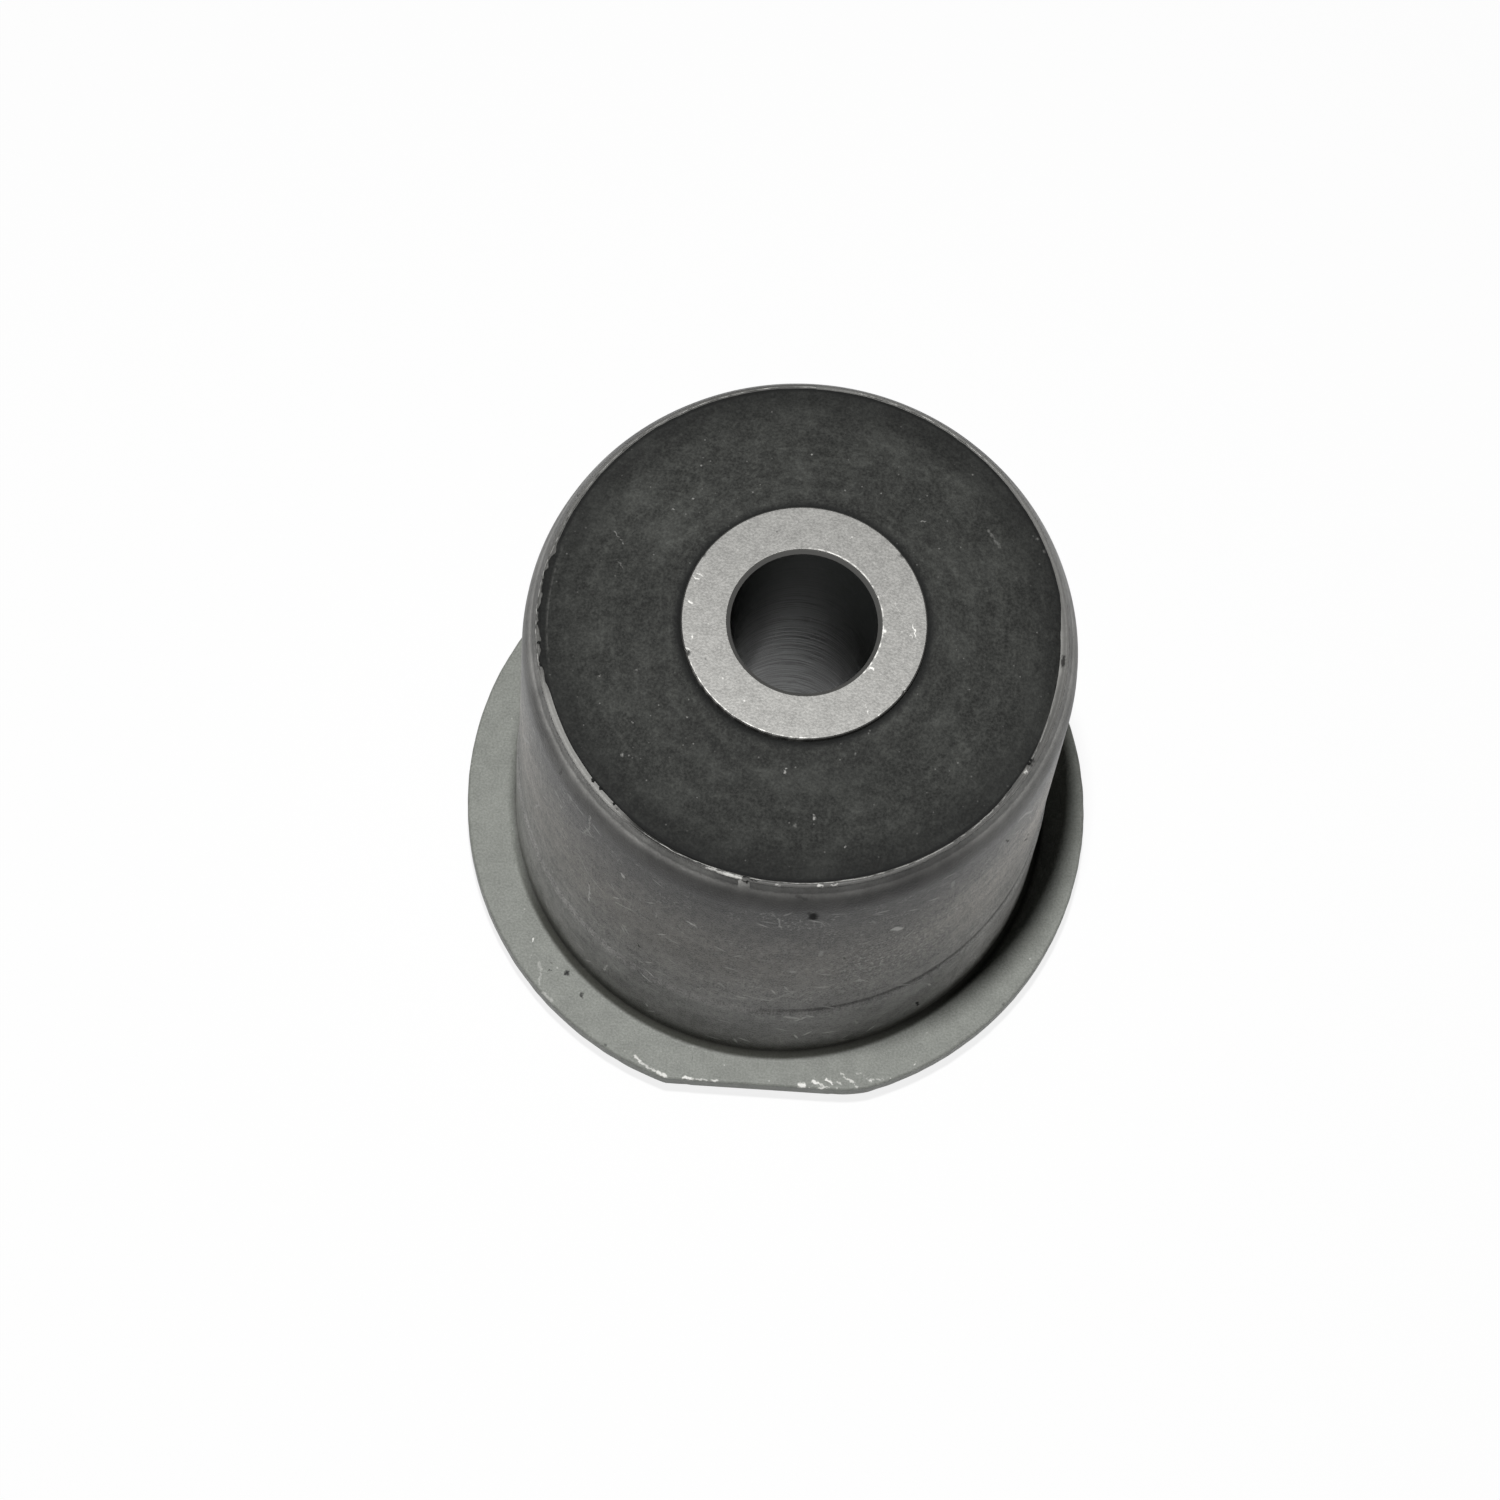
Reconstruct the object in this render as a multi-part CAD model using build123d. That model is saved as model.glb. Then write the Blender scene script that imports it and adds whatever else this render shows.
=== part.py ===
from build123d import *
import math
import os

# A rubber metal bush: a thick turned tube, a rubber spring bonded round it, and a deep-drawn
# outer sleeve with a flange turned out at its foot and a rim swaged in at its top.
# Millimetres. The bore runs along +Z, and the inner sleeve stands on its lower end at z = 0.

# Inner sleeve, clamped end to end by the bolt
BORE_DIAMETER = 12.1
INNER_WALL = 4.05
BORE_CHAMFER = 0.35
INNER_EDGE_BREAK = 0.1
PROUD_AT_FOOT = 2.3  # how far the inner sleeve stands out below the flange
PROUD_AT_TOP = 2.3  # and above the rim

# Outer sleeve, one sheet from rim to flange
SEAT_DIAMETER = 46.0  # the sized seat that is pressed into the arm
SLEEVE_LENGTH = 46.4  # from the underside of the flange to the top of the rim
SHEET = 1.7
BAND_HEIGHT = 12.9  # the unsized band between the flange and the seat
BAND_STEP = 0.2  # how far the band stands out from the seat
BAND_TAPER = 1.2
BEND_RADIUS = 0.8  # in the corner between the band and the flange
FLANGE_WIDTH = 4.5  # out from the seat
FLANGE_EDGE_BREAK = 0.3
FLAT_DEPTH = 1.3  # how far the flat cuts into the flange's round edge
FLAT_CORNER_RADIUS = 2.5
SWAGE_LENGTH = 4.3  # the stretch at the top that curls inwards
SWAGE_IN = 1.2
RIM_EDGE_BREAK = 0.15

# Rubber spring, bonded to both sleeves
CROWN_SET_BACK = 0.3  # from the broken edges of the inner sleeve
RIM_SHOWN = 0.25  # bare metal left on the sheared end of the swaged rim

# Radii
bore_radius = BORE_DIAMETER / 2
inner_radius = bore_radius + INNER_WALL
seat_radius = SEAT_DIAMETER / 2
band_radius = seat_radius + BAND_STEP
flange_radius = seat_radius + FLANGE_WIDTH
seat_wall = SHEET - BAND_STEP
cavity_radius = seat_radius - seat_wall

# Heights
flange_bottom = PROUD_AT_FOOT
flange_top = flange_bottom + SHEET
band_top = flange_top + BAND_HEIGHT
rim_top = flange_bottom + SLEEVE_LENGTH
swage_start = rim_top - SWAGE_LENGTH
inner_top = rim_top + PROUD_AT_TOP

# Outside, the swage is an arc tangent to the seat, so its length and depth give its angle and
# radius. Inside it is a cone, because the sheet thickens where it is squeezed in.
swage_angle = 2 * math.degrees(math.atan2(SWAGE_IN, SWAGE_LENGTH))
swage_radius = SWAGE_LENGTH / math.sin(math.radians(swage_angle))
swage_centre = (seat_radius - swage_radius, swage_start)

# The bend at the foot has one centre for both faces of the sheet.
bend_centre = (band_radius + BEND_RADIUS, flange_top + BEND_RADIUS)
underside_radius = BEND_RADIUS + SHEET


def rim_point(depth):
    """Point on the sheared end of the swaged rim, this deep from its outer corner."""
    reach = swage_radius - depth
    turn = math.radians(swage_angle)
    return swage_centre[0] + reach * math.cos(turn), swage_centre[1] + reach * math.sin(turn)


def inner_sleeve():
    """Turned tube with a chamfered bore and broken outer edges."""
    with BuildPart() as tube:
        with BuildSketch(Plane.XZ) as section:
            with Locations((bore_radius, 0)):
                Rectangle(INNER_WALL, inner_top, align=Align.MIN)
            bore_side, outer_side = section.vertices().group_by(Axis.X)
            chamfer(bore_side, BORE_CHAMFER)
            chamfer(outer_side, INNER_EDGE_BREAK)
        revolve(axis=Axis.Z)
    return tube.part


def sleeve_wall():
    """Section of the drawn sheet: flange, bend, band, seat and swaged rim."""
    with BuildSketch(Plane.XZ) as section:
        with BuildLine():
            outer_swage = CenterArc(swage_centre, swage_radius, 0, swage_angle)
            outer_bend = CenterArc(bend_centre, BEND_RADIUS, 180, 90)
            Polyline(
                outer_swage @ 0,
                (seat_radius, band_top),
                (band_radius, band_top - BAND_TAPER),
                outer_bend @ 0,
            )
            inner_bend = CenterArc(bend_centre, underside_radius, 180, 90)
            Polyline(
                outer_bend @ 1,
                (flange_radius, flange_top),
                (flange_radius, flange_bottom),
                inner_bend @ 1,
            )
            Polyline(
                inner_bend @ 0,
                (cavity_radius, swage_start),
                rim_point(seat_wall),
                outer_swage @ 1,
            )
        make_face()
        chamfer(section.vertices().sort_by(Axis.Y)[-1], RIM_EDGE_BREAK)
    return section.sketch


def outer_sleeve():
    """Drawn sleeve, with one flat sheared across the edge of its flange."""
    flat_offset = flange_radius - FLAT_DEPTH
    with BuildPart() as sleeve:
        revolve(sleeve_wall(), axis=Axis.Z)
        with Locations((0, -flat_offset, flange_bottom)):
            Box(
                2 * flange_radius,
                FLAT_DEPTH,
                SHEET,
                align=(Align.CENTER, Align.MAX, Align.MIN),
                mode=Mode.SUBTRACT,
            )
        flat_corners = sleeve.edges().filter_by(Axis.Z).sort_by(Axis.Y)[:2]
        fillet(flat_corners, FLAT_CORNER_RADIUS)
        flange_faces = sleeve.faces().filter_by(Axis.Z)
        flange_edges = [edge for face in flange_faces for edge in face.outer_wire().edges()]
        chamfer(flange_edges, FLANGE_EDGE_BREAK)
    return sleeve.part


def rubber_element():
    """Rubber that fills the room between the sleeves, with a shallow cone at each end."""
    crown_inset = INNER_EDGE_BREAK + CROWN_SET_BACK
    with BuildPart() as rubber:
        with BuildSketch(Plane.XZ):
            Polygon(
                (inner_radius, crown_inset),
                (cavity_radius, bend_centre[1]),
                (cavity_radius, swage_start),
                rim_point(seat_wall),
                rim_point(RIM_SHOWN),
                (inner_radius, inner_top - crown_inset),
                align=None,
            )
        revolve(axis=Axis.Z)
    return rubber.part


os.makedirs("parts", exist_ok=True)
for name, solid in {
    "inner_sleeve": inner_sleeve(),
    "outer_sleeve": outer_sleeve(),
    "rubber_element": rubber_element(),
}.items():
    export_step(solid, f"parts/{name}.step")
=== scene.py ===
import logging
import math
from dataclasses import dataclass
from enum import Enum
from typing import TypedDict, Unpack

import bmesh
import bpy
from mathutils import Matrix, Vector, noise


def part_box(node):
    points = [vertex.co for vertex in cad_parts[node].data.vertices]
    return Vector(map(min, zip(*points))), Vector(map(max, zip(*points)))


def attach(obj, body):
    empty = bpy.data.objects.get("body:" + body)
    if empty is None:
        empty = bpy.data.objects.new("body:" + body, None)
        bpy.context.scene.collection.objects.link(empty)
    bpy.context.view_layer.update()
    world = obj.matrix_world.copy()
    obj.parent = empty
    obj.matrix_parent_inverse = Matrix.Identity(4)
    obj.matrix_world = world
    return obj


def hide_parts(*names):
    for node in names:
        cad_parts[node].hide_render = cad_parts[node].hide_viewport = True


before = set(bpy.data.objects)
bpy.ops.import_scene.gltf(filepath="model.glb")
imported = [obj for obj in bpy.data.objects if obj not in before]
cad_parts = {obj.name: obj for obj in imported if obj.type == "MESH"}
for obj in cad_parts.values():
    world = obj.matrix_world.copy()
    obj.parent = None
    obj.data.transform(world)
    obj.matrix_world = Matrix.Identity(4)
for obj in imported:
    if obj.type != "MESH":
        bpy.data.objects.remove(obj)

MM = 0.001
FULL_TURN = 2 * math.pi
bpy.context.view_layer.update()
LOG = logging.getLogger("rubber_metal_bush")


class Slot(Enum):
    """Material slots of the record."""

    TURNED_STEEL = "turned_steel"
    DRAWN_STEEL = "drawn_steel"
    BONDED_RUBBER = "bonded_rubber"


def at(degrees: float, radius: float, height: float) -> Vector:
    """Place at an angle round the axis, and a radius and a height in millimetres."""
    turn = math.radians(degrees)
    return Vector((radius * math.cos(turn), radius * math.sin(turn), height)) * MM


@dataclass(frozen=True)
class Mark:
    """A scratch between two places on a surface, or a spot where it has no second place."""

    start: Vector
    end: Vector | None
    width: float
    share: float  # how fully it shows


def marks_at(
    *rows: tuple[float, ...], radius: float | None = None, height: float | None = None
) -> tuple[Mark, ...]:
    """Marks from rows of numbers, with lengths in millimetres.

    Args:
        rows: The two places of a scratch or the one place of a spot, then its width and its share. A
            place is an angle, a radius and a height, without the one that is given for all of them.
        radius: Radius of every place.
        height: Height of every place.

    Returns:
        The marks.
    """
    step = 3 if radius is None and height is None else 2  # numbers that a place takes in a row
    made = []
    for *numbers, width, share in rows:
        ends = []
        for first in range(0, len(numbers), step):
            degrees, *rest = numbers[first : first + step]
            if radius is not None:
                rest = [radius, *rest]
            elif height is not None:
                rest = [*rest, height]
            ends.append(at(degrees, *rest))
        start, end = (*ends, None)[:2]
        made.append(Mark(start, end, width * MM, share))
    return tuple(made)


def on_wall(radius: float, *rows: tuple[float, ...]) -> tuple[Mark, ...]:
    """Marks on a wall of one radius, whose rows give angles and heights."""
    return marks_at(*rows, radius=radius)


def on_level(height: float, *rows: tuple[float, ...]) -> tuple[Mark, ...]:
    """Marks on a face of one height, whose rows give angles and radii."""
    return marks_at(*rows, height=height)


# ---------------------------------------------------------------- shader maths


class Grid(TypedDict, total=False):
    """Layout of a pattern."""

    where: "Wire"  # coordinates, in place of the object's own
    stretch: tuple[float, float, float]  # how much longer a cloud or a cell is along each axis
    lean: float  # angle that the stretched axes are turned by
    shift: float  # offset in clouds or cells, to tell patterns of one size apart


class Wire:
    """A socket that carries a number over a surface, with the usual operators."""

    def __init__(self, shader: "Shader", socket: bpy.types.NodeSocket) -> None:
        """Wrap an output socket of a shader."""
        self.shader = shader
        self.socket = socket

    def _math(self, operation: str, *values: "Wire | float") -> "Wire":
        """Add one Math node for an operation on values."""
        return self.shader.node("ShaderNodeMath", {"operation": operation}, dict(enumerate(values)))

    def __add__(self, other: "Wire | float") -> "Wire":
        """Sum."""
        return self._math("ADD", self, other)

    __radd__ = __add__

    def __sub__(self, other: "Wire | float") -> "Wire":
        """Difference."""
        return self._math("SUBTRACT", self, other)

    def __rsub__(self, other: float) -> "Wire":
        """Difference from a number."""
        return self._math("SUBTRACT", other, self)

    def __mul__(self, other: "Wire | float") -> "Wire":
        """Product."""
        return self._math("MULTIPLY", self, other)

    __rmul__ = __mul__

    def __truediv__(self, other: "Wire | float") -> "Wire":
        """Quotient."""
        return self._math("DIVIDE", self, other)

    def __neg__(self) -> "Wire":
        """The same size with the other sign."""
        return self * -1.0

    def __abs__(self) -> "Wire":
        """Size without sign."""
        return self._math("ABSOLUTE", self)

    def at_least(self, other: "Wire | float") -> "Wire":
        """The larger of the two."""
        return self._math("MAXIMUM", self, other)

    def at_most(self, other: "Wire | float") -> "Wire":
        """The smaller of the two."""
        return self._math("MINIMUM", self, other)

    def rise(self, low: float, high: float) -> "Wire":
        """Smooth step between two values.

        Args:
            low: Value at which it is 0.
            high: Value at which it is 1, which may be the smaller of the two.

        Returns:
            The step.
        """
        start, end, left, right = (low, high, 0.0, 1.0) if low < high else (high, low, 1.0, 0.0)
        return self.shader.node(
            "ShaderNodeMapRange",
            {"interpolation_type": "SMOOTHSTEP"},
            {"Value": self, "From Min": start, "From Max": end, "To Min": left, "To Max": right},
        )

    def near(self, value: float, reach: float) -> "Wire":
        """1 at a value, falling smoothly to 0 at a reach on either side of it."""
        return abs(self - value).rise(reach, 0.0)

    def also(self, output: str) -> "Wire":
        """Another output of the same node."""
        return Wire(self.shader, self.socket.node.outputs[output])


class Shader:
    """One material, built up by expressions on the place of each surface point."""

    def __init__(self, name: str, unroll_radius: float = 23.0 * MM) -> None:
        """Start a material.

        Args:
            name: Name of the material.
            unroll_radius: Radius at which a wall is unrolled at its true width.
        """
        self.material = bpy.data.materials.new(name)
        self.material.use_nodes = True
        self.tree = self.material.node_tree
        self.tree.nodes.clear()
        self.place = self.node("ShaderNodeTexCoord", output="Object")
        split = self.node("ShaderNodeSeparateXYZ", inputs={"Vector": self.place}, output="X")
        self.x, self.y, self.z = split, split.also("Y"), split.also("Z")
        self.radius = self.vector_math("LENGTH", self.vector(self.x, self.y, 0.0), output="Value")
        self.turn = self.node("ShaderNodeMath", {"operation": "ARCTAN2"}, {0: self.x, 1: -self.y})
        self.wall = self.vector(self.turn * unroll_radius, self.z, 0.0)

    def node(
        self,
        kind: str,
        settings: dict[str, object] | None = None,
        inputs: dict[str | int, object] | None = None,
        output: str | int = 0,
    ) -> Wire:
        """Add a node of any kind.

        Args:
            kind: Blender's name for the node's type.
            settings: Properties of the node, set before its sockets.
            inputs: Value or link of each input socket, by name or number.
            output: Output socket to return.

        Returns:
            The chosen output.
        """
        made = self.tree.nodes.new(kind)
        for key, value in (settings or {}).items():
            setattr(made, key, value)
        for key, value in (inputs or {}).items():
            socket = made.inputs[key]
            if isinstance(value, Wire):
                self.tree.links.new(value.socket, socket)
            else:
                socket.default_value = value
        return Wire(self, made.outputs[output])

    def vector(self, x: Wire | float, y: Wire | float, z: Wire | float) -> Wire:
        """Join three numbers into a vector."""
        return self.node("ShaderNodeCombineXYZ", inputs={"X": x, "Y": y, "Z": z})

    def vector_math(self, operation: str, *values: object, output: str | int = 0) -> Wire:
        """Add one Vector Math node for an operation on vectors."""
        settings = {"operation": operation}
        return self.node("ShaderNodeVectorMath", settings, dict(enumerate(values)), output)

    def scaled(self, value: object, factor: Wire) -> Wire:
        """A vector or a colour times a number."""
        return self.node("ShaderNodeVectorMath", {"operation": "SCALE"}, {0: value, "Scale": factor})

    def _laid_out(self, size: float, grid: Grid) -> Wire:
        """Measure the coordinates in clouds or cells.

        Args:
            size: Size of a cloud or cell.
            grid: Layout of the clouds or cells.

        Returns:
            The coordinates.
        """
        return self.node(
            "ShaderNodeMapping",
            {"vector_type": "TEXTURE"},
            {
                "Vector": grid.get("where", self.place),
                "Location": (grid.get("shift", 0.0) * size,) * 3,
                "Rotation": (0.0, 0.0, grid.get("lean", 0.0)),
                "Scale": tuple(size * s for s in grid.get("stretch", (1.0, 1.0, 1.0))),
            },
        )

    def noise(
        self,
        size: float,
        detail: float = 2.0,
        roughness: float = 0.5,
        output: str = "Fac",
        **grid: Unpack[Grid],
    ) -> Wire:
        """Cloudy noise from 0 to 1, around 0.5.

        Args:
            size: Size of a cloud.
            detail: Octaves of finer noise.
            roughness: Weight of the finer octaves.
            output: Output of the texture node.
            grid: Layout of the clouds.

        Returns:
            The noise value.
        """
        values = {"Scale": 1.0, "Detail": detail, "Roughness": roughness}
        values["Vector"] = self._laid_out(size, grid)
        return self.node("ShaderNodeTexNoise", {"noise_dimensions": "3D"}, values, output)

    def clouds(self, size: float, **values: object) -> Wire:
        """Noise with its contrast raised, from 0 to 1."""
        return self.noise(size, **values).rise(0.3, 0.7)

    def streaks(
        self, arc: float, across: Wire, width: float, detail: float = 2.0, roughness: float = 0.5
    ) -> Wire:
        """Noise drawn out round the axis.

        Args:
            arc: Angle that a streak covers, in radians.
            across: Radius or height that the streaks change with.
            width: Width of a streak.
            detail: Octaves of finer noise.
            roughness: Weight of the finer octaves.

        Returns:
            The noise value.
        """
        round_x, round_y = self.x / self.radius, self.y / self.radius
        where = self.vector(round_x * (1 / arc), round_y * (1 / arc), across * (1 / width))
        return self.noise(1.0, detail, roughness, where=where)

    def specks(
        self, cell: float, size: float, share: float, flat: bool = False, **grid: Unpack[Grid]
    ) -> Wire:
        """Scattered dots, at most one to a cell, or dashes where the cells are stretched.

        Args:
            cell: Size of a cell.
            size: Radius of a dot.
            share: Share of the cells whose dot shows.
            flat: Whether the cells lie in the plane of the first two axes.
            grid: Layout of the cells.

        Returns:
            0 away from the dots, and on a dot its own strength, from 0 to 1 at random.
        """
        distance = self.node(
            "ShaderNodeTexVoronoi",
            {"voronoi_dimensions": "2D" if flat else "3D", "feature": "F1"},
            {"Vector": self._laid_out(cell, grid), "Scale": 1.0, "Randomness": 1.0},
            "Distance",
        )
        colour = {"Color": distance.also("Color")}
        chance = self.node("ShaderNodeSeparateColor", inputs=colour, output="Red")
        return distance.rise(size / cell, size / cell * 0.3) * chance.rise(1.0 - share, 1.0)

    def sector(self, start: float, end: float, soft: float) -> Wire:
        """Mask of a sector with soft sides, between two angles from -270 to 90 degrees."""
        low, high, fade = (math.radians(v) for v in (start + 90.0, end + 90.0, soft))
        return self.turn.rise(low - fade, low + fade) * self.turn.rise(high + fade, high - fade)

    def marks(self, marks: tuple[Mark, ...], ragged: float = 0.12 * MM) -> Wire:
        """Mask of listed scratches and spots.

        Args:
            marks: The marks.
            ragged: How far their edges stray.

        Returns:
            The largest share of any mark at each point.
        """
        uneven = self.vector_math("SUBTRACT", self.noise(0.3 * MM, output="Color"), (0.5,) * 3)
        place = self.vector_math("ADD", self.place, self.scaled(uneven, ragged * 4))
        total: Wire | float = 0.0
        for mark in marks:
            from_start = self.vector_math("SUBTRACT", place, tuple(mark.start))
            if mark.end is None:
                distance = self.vector_math("LENGTH", from_start, output="Value")
            else:
                along = mark.end - mark.start
                unit = tuple(along / along.length_squared)
                share = self.vector_math("DOT_PRODUCT", from_start, unit, output="Value")
                nearest = self.scaled(tuple(along), share.at_least(0.0).at_most(1.0))
                distance = self.vector_math("DISTANCE", from_start, nearest, output="Value")
            mask = distance.rise(mark.width * 0.75, mark.width * 0.2) * mark.share
            total = mask if isinstance(total, float) else total.at_least(mask)
        return total

    def mix(self, share: Wire | float, first: object, second: object) -> Wire:
        """Blend two colours, from the first where the share is 0 to the second where it is 1."""
        settings = {"data_type": "RGBA", "clamp_factor": True}
        return self.node("ShaderNodeMix", settings, {0: share, 6: first, 7: second}, output=2)

    def shade(self, colour: object, strength: Wire) -> Wire:
        """Make a colour lighter or darker by a factor that varies over the surface."""
        return self.scaled(colour if isinstance(colour, Wire) else colour[:3], strength)

    def bump(self, height: Wire, depth: float) -> Wire:
        """Normal of a surface whose height runs from 0 to 1 over a depth."""
        values = {"Height": height, "Strength": 1.0, "Distance": depth}
        return self.node("ShaderNodeBump", inputs=values)

    def surface(self, **sockets: object) -> bpy.types.Material:
        """Close the material with a Principled shader, with underscores in the names of its inputs."""
        values = {name.replace("_", " "): value for name, value in sockets.items()}
        return self.close(self.node("ShaderNodeBsdfPrincipled", inputs=values))

    def close(self, shaded: Wire) -> bpy.types.Material:
        """Link a shader to the material's output.

        Args:
            shaded: The shader.

        Returns:
            The material.
        """
        out = self.tree.nodes.new("ShaderNodeOutputMaterial")
        self.tree.links.new(shaded.socket, out.inputs["Surface"])
        return self.material


WARM = (1.0, 0.99, 0.945)
UMBER = (1.04, 0.98, 0.88)
OLIVE = (1.0, 0.96, 0.7)
GREENISH = (0.985, 1.02, 0.935)
COOL = (0.95, 1.02, 0.99)


def grey(level: float, tint: tuple[float, float, float] = (1.0, 1.0, 1.0)) -> tuple[float, ...]:
    """Colour of a grey level from 0 to 1, linear, with a slight tint."""
    return (*(level * t for t in tint), 1.0)


# ---------------------------------------------------------------- finishes


@dataclass(frozen=True)
class TurnedSteel:
    """Turned steel of the inner sleeve: a fine matt end face with painted glints, and a dark bore with
    tool rings, with painted light deep down and painted shade at its top and sides.
    """

    face_level: float = 0.225
    # colour of painted glints on the end face, and of its bright scratches
    glint_level: float = 0.62
    # colour of dirt, and of painted shade in nicks
    soil_and_shade_level: float = 0.03
    bore_level: float = 0.082
    # colour of the painted shade at the top of the bore
    bore_top_shade_level: float = 0.085
    chamfer_level: float = 0.09
    mouth: float = 6.4 * MM  # radius inside which the bore begins
    dark_above: float = 48.0 * MM  # heights between which the painted shade at the bore's top gives way to painted light
    lit_below: float = 26.0 * MM
    edge: float = 10.0 * MM  # radius at which the outer edge is broken
    top: float = 51.0 * MM
    # bright scratches on the end face, with painted glints on the chamfer's edge
    bare: tuple[Mark, ...] = on_level(
        51,
        (158, 9.7, 158.4, 9.2, 0.1, 0.7), (160.4, 9.75, 160.7, 9.35, 0.14, 0.9),
        (163, 9.8, 163.2, 9.5, 0.1, 0.8), (173.4, 9.6, 173.7, 9.3, 0.14, 0.8), (-168, 9.29, 0.22, 0.8),
        (2.5, 8.88, -3.9, 9.19, 0.13, 1), (-3, 8.7, -4.4, 8.95, 0.08, 0.6),
        (-32.2, 6.86, -33.2, 6.62, 0.24, 1), (-2.5, 6.6, 0.26, 0.9), (-53.2, 9.6, -52, 8.6, 0.07, 0.7),
        (-62, 9.5, -61, 8.9, 0.05, 0.4), (-49.4, 10, 0.2, 0.9), (-21, 8.8, 3, 8.2, 0.05, 0.3),
        (3, 8.2, 28, 7.5, 0.05, 0.35),
    )
    # dark dirt, and painted shade in the nicks of the outer edge
    grime_and_nick_shade: tuple[Mark, ...] = (
        on_level(
            51,
            (-160.9, 10.05, -160.9, 9.8, 0.3, 1), (-32.7, 10.12, 0.25, 0.8),
            (38, 9.95, 41, 9.8, 0.12, 0.5), (-168.5, 8.5, 0.12, 0.35), (70, 8.1, 0.14, 0.3),
            (78, 7.4, 0.1, 0.3),
        )
        + on_wall(
            6.05,
            (100, 20.5, 108, 21.5, 0.5, 0.9), (86, 19.3, 90, 18.8, 0.4, 0.9),
        )
    )

    def dress(self) -> bpy.types.Material:
        """Make the material.

        Returns:
            The material.
        """
        s = Shader("turned_steel")
        grain = s.clouds(0.21 * MM, detail=3, roughness=0.65)
        cloud = s.clouds(0.9 * MM, detail=4, roughness=0.6, shift=3)
        tone = 1.0 + (grain - 0.5) * 0.34 + (cloud - 0.5) * 0.18
        face = s.shade(grey(self.face_level, WARM), tone)
        # painted glints scattered over the end face
        glitter = s.specks(0.34 * MM, 0.1 * MM, 0.2) * 0.5
        glitter = glitter + s.specks(0.9 * MM, 0.12 * MM, 0.3, shift=7)
        dashes = s.streaks(0.07, s.radius, 0.5 * MM, detail=3).rise(0.42, 0.6)
        # painted highlights along the chamfer's outer edge and along the outer edge at the front left;
        # bare joins them to the bright scratches
        lip_glint = s.radius.near(self.mouth + 0.07 * MM, 0.09 * MM) * dashes * s.sector(-45, 90, 8)
        rim_glint = s.radius.rise(self.edge - 0.12 * MM, self.edge - 0.02 * MM)
        rim_glint = rim_glint * dashes * s.sector(-160, -84, 6)
        bare = s.marks(self.bare).at_least(lip_glint).at_least(rim_glint)
        face = s.mix(glitter.at_most(1.0) * 0.5 + bare * 0.9, face, grey(self.glint_level, WARM))
        dark = s.specks(1.3 * MM, 0.12 * MM, 0.3, shift=2) * 0.6
        face = s.mix(dark, face, grey(self.soil_and_shade_level))
        inside = s.radius.rise(self.mouth - 0.02 * MM, self.mouth - 0.1 * MM)
        hoop = s.streaks(0.8, s.z, 0.42 * MM, detail=3, roughness=0.65)
        broad = s.streaks(0.6, s.z, 2.2 * MM).rise(0.3, 0.42)
        lines = hoop.rise(0.49, 0.4) * broad * s.z.rise(46 * MM, 36 * MM)
        # painted light deep in the bore and in the middle of its side towards +Y; painted shade at its
        # top and on its sides
        deep = s.z.rise(self.dark_above, self.lit_below)
        painted_lit_middle = s.sector(-300, -260, 14) + s.sector(69, 120, 14)
        bore = s.mix(deep, grey(self.bore_top_shade_level, COOL), grey(self.bore_level * 1.3, COOL))
        bore = s.shade(bore, 1.0 - deep * (1.0 - painted_lit_middle) * 0.74)
        # painted glints on the tool rings deep in the bore
        bore = s.mix(hoop.rise(0.56, 0.66) * 0.4 * deep, bore, grey(self.bore_level * 2.0, COOL))
        bore = s.mix(lines * 0.9, bore, grey(self.bore_level * 0.1, COOL))
        chamfer = s.z.rise(self.top - 0.45 * MM, self.top - 0.3 * MM)
        bore = s.mix(chamfer, bore, grey(self.chamfer_level, WARM))
        colour = s.mix(inside, face, bore)
        # dirt, and painted shade in the nicks
        colour = s.mix(s.marks(self.grime_and_nick_shade), colour, grey(self.soil_and_shade_level))
        relief = s.mix(inside, grain * 0.3, hoop.rise(0.3, 0.7))
        normal = s.bump(relief, 0.01 * MM)
        rough = 0.5 - inside * deep * 0.22
        metallic = 0.85 - inside * (1.0 - deep) * 0.85
        return s.surface(Base_Color=colour, Metallic=metallic, Roughness=rough, Normal=normal)


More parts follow.
